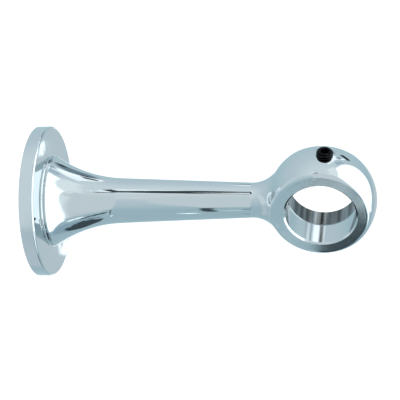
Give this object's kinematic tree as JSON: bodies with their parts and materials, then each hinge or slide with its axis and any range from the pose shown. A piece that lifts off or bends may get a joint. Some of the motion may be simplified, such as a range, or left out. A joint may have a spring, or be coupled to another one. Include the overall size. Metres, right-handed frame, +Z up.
{
  "type": "curtain rod bracket",
  "caption": "Wall bracket for a curtain rod: a round plate, a flared and tapering arm and a ball-shaped head with a cross bore, locked by a set screw on top",
  "frame": {"origin": "the middle of the wall plate's back, in the plane that bears on the wall, on the arm's axis", "axes": "+X out of the wall along the arm, Y along the rod with the front of the head and its wider bore facing -Y, +Z up through the set screw's side of the head"},
  "size_m": [0.126, 0.056, 0.056],
  "materials": {
    "chrome_plate": "polished and chrome-plated zinc die casting",
    "black_oxide": "black-oxide alloy steel"
  },
  "bodies": {
    "root": {"bracket_body": "chrome_plate", "set_screw": "black_oxide"}
  },
  "joints": []
}
